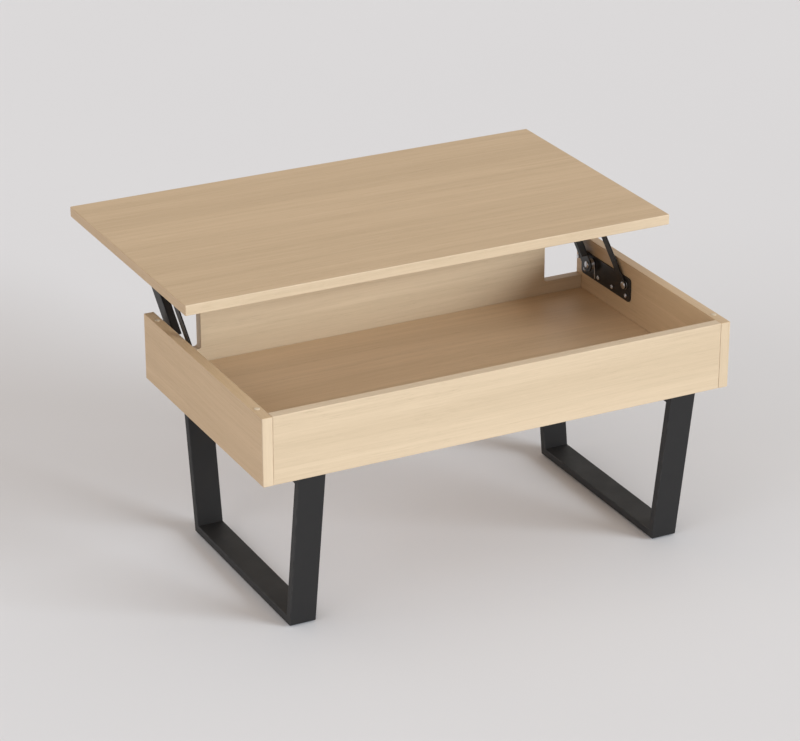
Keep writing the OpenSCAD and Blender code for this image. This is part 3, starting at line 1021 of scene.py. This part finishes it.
class TABLE_OT_pins(bpy.types.Operator):
    """Makes the pivot pins, stop pins, spacers, washers and springs"""

    bl_idname = "lift_table.pins"
    bl_label = "Pins and springs"

    def execute(self, context):
        for side in SIDES:
            self.pins(side)
            self.stop(side)
            self.spacer(side)
            self.spring(side)
        self.washers()
        return {"FINISHED"}

    def pins(self, side):
        s = inward(side)
        head, gap = s * HEAD_HEIGHT, s * FACE_GAP
        wall = span(side, side + "_end_panel")[1]
        guide_start, guide_end, ear_start, ear_end = layers(side)
        main_end = span(side, side + "_base_pins")[1] - head
        main_base, main_top = arm_pivots("main")
        guide_base, guide_top = arm_pivots("guide")
        base = [
            domed_pin(wall, main_end, head, (0, *main_base)),
            domed_pin(wall, guide_end + gap, head, (0, *guide_base)),
        ]
        zinc_piece(side + "_base_rivets", base, side + "_base_pins")
        top = [
            domed_pin(ear_start, main_end, head, (0, *main_top)),
            domed_pin(ear_start, guide_start - gap, -head, (0, *guide_top)),
            domed_pin(ear_start, ear_end + gap, s * CLIP_HEIGHT, (0, *guide_top)),
        ]
        zinc_piece(side + "_top_rivets", top, side + "_top_pins", "top")

    def stop(self, side):
        name = side + "_stop_pin"
        low, high = box_of(name)
        start, end = span(side, name)
        r = (high[1] - low[1]) / 2
        s, ease = inward(side), 0.6 * MM
        profile = [(start, r), (end - s * ease, r), (end - s * ease * 0.3, r - ease * 0.3), (end, r - ease)]
        centre = (0, *(low[1:] + high[1:]) / 2)
        zinc_piece(name + "_stud", [turned_shape(profile, centre, "x")], name)

    def spacer(self, side):
        name = side + "_spacer"
        low, high = box_of(name)
        start, end = span(side, name)
        outer, centre = (high[1] - low[1]) / 2, (0, *arm_pivots("main")[0])
        shape = ring(*sorted((start, end)), PIN_RADIUS + PIN_FIT, outer, centre)
        zinc_piece(name + "_bush", [shape], name)

    def spring(self, side):
        """A helix round the main base pivot, with a leg that lies along the base bracket.

        The coil's point at angle a is (x0 + pitch a / turn, R sin a, R cos a) from the pivot, and
        each leg leaves along the coil's own direction.
        """
        name = side + "_spring"
        low, high = box_of(name)
        wire = SPRING_WIRE
        radius = (high[1] - low[1]) / 2 - wire
        start, end = span(side, name)
        s = inward(side)
        turns = 3.6
        a = np.linspace(-math.pi / 2, turns * 2 * math.pi - math.pi / 2, 150)
        x = np.linspace(start + s * wire, end - s * wire, len(a))
        coil = np.stack([x, radius * np.sin(a), radius * np.cos(a)], 1)
        leg = np.linspace(26 * MM, 2 * MM, 8)[:, None]
        tail = coil[0] - leg * unit(coil[1] - coil[0])
        hook = coil[-1] + np.linspace(1 * MM, 6 * MM, 4)[:, None] * unit(coil[-1] - coil[-2])
        path = np.concatenate([tail, coil, hook]) + np.array([0, *arm_pivots("main")[0]])
        zinc_piece(name + "_coil", [swept_wire(path, wire)], name)

    def washers(self):
        """Thin washers between the sliding layers."""
        bore = PIN_RADIUS + HOLE_FIT
        guide_base = arm_pivots("guide")[0]
        main_top, guide_top = arm_pivots("main")[1], arm_pivots("guide")[1]
        base, top = [], []
        for side in SIDES:
            s = inward(side)
            guide_start, guide_end, ear_start, ear_end = layers(side)
            gaps = (
                (base, span(side, side + "_base_bracket")[1], guide_start, guide_base),
                (top, guide_end, ear_start, guide_top),
                (top, ear_end, span(side, side + "_main_arm")[0], main_top),
            )
            for made, start, end, centre in gaps:
                ends = sorted((start + s * FACE_GAP, end - s * FACE_GAP))
                made.append(ring(*ends, bore, WASHER_RADIUS, (0, *centre)))
        zinc_piece("base_washer_set", base, "base_washers")
        zinc_piece("top_washer_set", top, "top_washers", "top")


class TABLE_OT_screws(bpy.types.Operator):
    """Makes the screws of the base brackets and of the top brackets"""

    bl_idname = "lift_table.screws"
    bl_label = "Bracket screws"

    def execute(self, context):
        for side in SIDES:
            name = side + "_bracket_screws"
            low, high = box_of(name)
            start, tip = span(side, name)
            under = span(side, side + "_base_bracket")[1]
            r, z = (high[2] - low[2]) / 2, (low[2] + high[2]) / 2
            rows = np.linspace(low[1] + r, high[1] - r, 4)
            shapes = [screw(start, under, r * 0.48, r, tip - under, (0, y, z), "x") for y in rows]
            zinc_piece(name + "_set", shapes, name)
        low, high = box_of("top_screws")
        under = box_of("left_top_bracket")[1][2] - np.ptp(span("left", "left_base_bracket"))
        rows = np.linspace(low[1] + r, high[1] - r, 3)  # heads of the same size as on the base brackets
        places = [(sx * (high[0] - r), y, 0) for sx in (-1, 1) for y in rows]
        shapes = [screw(high[2], under, r * 0.48, r, low[2] - under, place, "z") for place in places]
        zinc_piece("top_screw_set", shapes, "top_screws", "top")
        return {"FINISHED"}


def aim(obj, target):
    """Turns a light or camera so that it looks at a point."""
    direction = target - obj.location
    obj.rotation_euler = direction.to_track_quat("-Z", "Y").to_euler()


class TABLE_OT_stage(bpy.types.Operator):
    """Makes the floor, the soft light and the camera"""

    bl_idname = "lift_table.stage"
    bl_label = "Stage"

    def execute(self, context):
        scene = context.scene
        settings = scene.lift_table_stage
        low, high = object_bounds()
        centre = (low + high) / 2
        self.floor(scene, scene.lift_table_colours)
        self.light(scene, settings, centre)
        self.camera(scene, settings, centre)
        scene.view_settings.view_transform = "Standard"
        return {"FINISHED"}

    def floor(self, scene, colours):
        """A wide floor that curves up far away: height rises with the square of the distance past 8 m."""
        radius = np.concatenate([np.linspace(0.5, 8, 6), np.linspace(9, 30, 12)])
        a = np.linspace(0, 2 * math.pi, 48, endpoint=False)
        height = 0.005 * np.maximum(radius - 8, 0) ** 2
        ring_xy = radius[:, None, None] * np.stack([np.cos(a), np.sin(a)], 1)
        z = np.broadcast_to(height[:, None, None], (len(radius), len(a), 1))
        verts = np.concatenate([ring_xy, z], -1).reshape(-1, 3)
        faces = grid_faces(len(radius), len(a))[:, ::-1].tolist() + [list(range(len(a)))]
        mesh = bpy.data.meshes.new("studio_floor")
        mesh.from_pydata(verts.tolist(), [], faces)
        mesh.polygons.foreach_set("use_smooth", [True] * len(faces))
        mesh.materials.append(floor_material(colours.floor))
        floor = bpy.data.objects.new("studio_floor", mesh)
        scene.collection.objects.link(floor)
        floor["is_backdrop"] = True

    def light(self, scene, settings, centre):
        world = bpy.data.worlds.new("studio")
        world.use_nodes = True
        world.node_tree.nodes["Background"].inputs["Color"].default_value = (1.0, 0.955, 0.905, 1)
        world.node_tree.nodes["Background"].inputs["Strength"].default_value = settings.ambient
        scene.world = world
        lamps = (
            ("key", settings.key, 30, (0.79, 0.90, 1.0), (1.54, -1.83, 0.51), False),
            ("fill", settings.fill, 60, (0.87, 0.92, 1.0), (-2.35, -0.41, 0.64), True),
        )
        for name, strength, breadth, colour, place, glares in lamps:
            data = bpy.data.lights.new(name, "SUN")
            data.energy = strength
            data.angle = math.radians(breadth)
            data.color = colour
            lamp = bpy.data.objects.new(name, data)
            lamp.location = centre + type(centre)(place)
            lamp.visible_glossy = glares  # the key is low, and would burn out the top seen from behind
            scene.collection.objects.link(lamp)
            aim(lamp, centre)

    def camera(self, scene, settings, centre):
        data = bpy.data.cameras.new("camera")
        data.lens = settings.lens
        data.sensor_width = 36
        data.clip_end = 200
        camera = bpy.data.objects.new("camera", data)
        a, e = settings.azimuth, settings.elevation
        back = type(centre)((math.sin(a) * math.cos(e), -math.cos(a) * math.cos(e), math.sin(e)))
        camera.location = centre + settings.distance * back
        scene.collection.objects.link(camera)
        aim(camera, centre)
        scene.camera = camera


OPERATORS = (
    TABLE_OT_finishes,
    TABLE_OT_top,
    TABLE_OT_box,
    TABLE_OT_legs,
    TABLE_OT_bumpers,
    TABLE_OT_arms,
    TABLE_OT_brackets,
    TABLE_OT_pins,
    TABLE_OT_screws,
    TABLE_OT_stage,
)


class TABLE_PT_panel(bpy.types.Panel):
    """Lists the sizes, the colours and the steps that build the table"""

    bl_idname = "TABLE_PT_panel"
    bl_label = "Lift top coffee table"
    bl_space_type = "VIEW_3D"
    bl_region_type = "UI"
    bl_category = "Table"

    def draw(self, context):
        for name in ("lift_table_sizes", "lift_table_colours", "lift_table_stage"):
            settings = getattr(context.scene, name)
            for key in settings.__annotations__:
                self.layout.prop(settings, key)
        for operator in OPERATORS:
            self.layout.operator(operator.bl_idname)


SETTINGS = {
    "lift_table_sizes": TableSizes,
    "lift_table_colours": TableColours,
    "lift_table_stage": StageSettings,
}


def register():
    for made in (*SETTINGS.values(), *OPERATORS, TABLE_PT_panel):
        bpy.utils.register_class(made)
    for name, made in SETTINGS.items():
        setattr(bpy.types.Scene, name, bpy.props.PointerProperty(type=made))


def unregister():
    for name in SETTINGS:
        delattr(bpy.types.Scene, name)
    for made in reversed((*SETTINGS.values(), *OPERATORS, TABLE_PT_panel)):
        bpy.utils.unregister_class(made)


def main():
    register()
    for operator in OPERATORS:
        family, name = operator.bl_idname.split(".")
        getattr(getattr(bpy.ops, family), name)()


if __name__ == "__main__":
    main()
